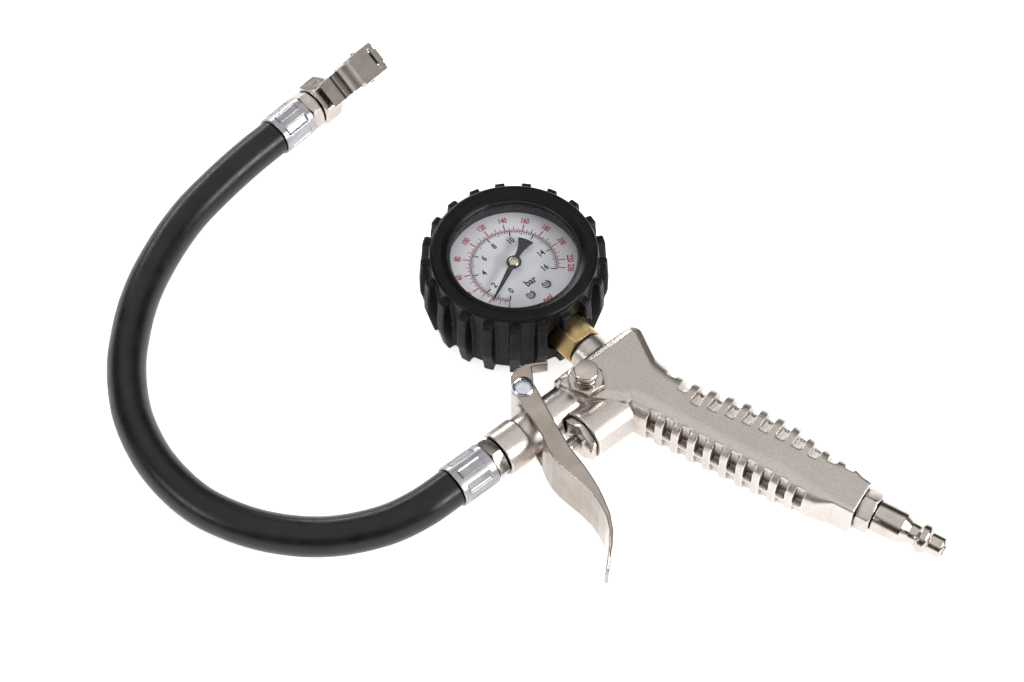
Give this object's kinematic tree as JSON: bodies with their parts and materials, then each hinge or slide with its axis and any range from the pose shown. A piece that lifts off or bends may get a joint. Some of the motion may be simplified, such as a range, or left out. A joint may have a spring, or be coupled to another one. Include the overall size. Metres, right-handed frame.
{
  "type": "tyre inflator with gauge",
  "caption": "Hand-held tyre inflator gun with a trigger lever, bleed button, dial gauge in a ribbed rubber boot, short hose and clip-on chuck.",
  "frame": {"origin": "on the gauge's axis, in the plane of the rubber boot's back face, which the object lies on", "axes": "+Z the way the dial faces; +X along the barrel, away from the hose; +Y from the barrel towards the gauge, so the grip points to -Y"},
  "size_m": [0.2056, 0.3255, 0.035],
  "materials": {
    "cast_nickel": "satin nickel over a fine sand-textured casting",
    "polished_nickel": "bright nickel plate",
    "steel": "plain bright steel",
    "brass": "turned brass",
    "boot_rubber": "moulded black rubber, matt",
    "hose_rubber": "extruded black rubber, semi-gloss",
    "seal_rubber": "black rubber",
    "black_case": "black lacquer",
    "aluminium": "bright swaged aluminium",
    "lens": "clear polycarbonate",
    "dial": "white lacquer with printed scales",
    "pointer_black": "black lacquer"
  },
  "bodies": {
    "gun": {"gun_body": "cast_nickel", "valve_gland_nut": "polished_nickel", "stem_o_ring": "seal_rubber", "valve_seat": "brass", "poppet_spring": "steel", "bleed_valve_body": "polished_nickel", "bleed_spring": "steel", "inlet_plug": "polished_nickel", "gauge_boot": "boot_rubber", "gauge_case": "black_case", "gauge_bezel": "black_case", "gauge_lens": "lens", "dial_plate": "dial", "dial_screws": "steel", "movement_plates": "brass", "movement_pillars": "brass", "hair_spring": "steel", "bourdon_tube": "brass", "bourdon_tip": "brass", "gauge_stem": "brass", "stem_washer": "seal_rubber", "hose": "hose_rubber", "gun_ferrule": "aluminium", "gun_hose_fitting": "polished_nickel", "chuck_ferrule": "aluminium", "chuck_hose_fitting": "polished_nickel", "chuck_body": "polished_nickel", "clip_pin": "steel", "clip_spring": "steel", "chuck_seal": "seal_rubber", "core_depressor": "brass"},
    "trigger": {"trigger_lever": "polished_nickel", "lever_pivot_pin": "steel"},
    "valve": {"valve_stem": "steel", "valve_poppet": "brass", "poppet_seal": "seal_rubber"},
    "bleed": {"bleed_button": "polished_nickel", "bleed_seal": "seal_rubber"},
    "pointer_arbor": {"pointer": "pointer_black", "pointer_hub": "brass", "pinion_shaft": "steel"},
    "sector": {"sector_gear": "brass"},
    "clip": {"chuck_clip": "polished_nickel"}
  },
  "joints": [
    {"name": "trigger_pivot", "type": "hinge", "parent": "gun", "child": "trigger", "pos_m": [-0.0341, -0.0459, 0.015], "axis": [0, 0, 1], "range_deg": [0, 11], "stiffness_Nm_per_rad": 0.6, "springref_deg": -5.73},
    {"name": "valve_slide", "type": "slide", "parent": "gun", "child": "valve", "axis": [1, 0, 0], "range_m": [-0.0001, 0.0056], "deforming": ["poppet_spring"]},
    {"name": "bleed_press", "type": "slide", "parent": "gun", "child": "bleed", "axis": [0, 0, -1], "range_m": [0, 0.0016], "stiffness_N_per_m": 900, "springref_m": -0.001, "deforming": ["bleed_spring"]},
    {"name": "sector_turn", "type": "hinge", "parent": "gun", "child": "sector", "pos_m": [0, 0.0129, 0.015], "axis": [0, 0, 1], "range_deg": [-2.5, 35.7]},
    {"name": "pointer_turn", "type": "hinge", "parent": "gun", "child": "pointer_arbor", "pos_m": [0, 0, 0.015], "axis": [0, 0, 1], "range_deg": [-251, 18.6], "deforming": ["hair_spring"]},
    {"name": "clip_press", "type": "hinge", "parent": "gun", "child": "clip", "pos_m": [0.02107, 0.12205, 0.01558], "axis": [0.1069, -0.8121, -0.5736], "range_deg": [0, 5], "stiffness_Nm_per_rad": 0.3, "springref_deg": -5.73, "deforming": ["clip_spring"]}
  ],
  "couplings": [
    {"joint": "valve_slide", "follows": "trigger_pivot", "m_per_rad": 0.0255},
    {"joint": "pointer_turn", "follows": "sector_turn", "ratio": -7}
  ]
}
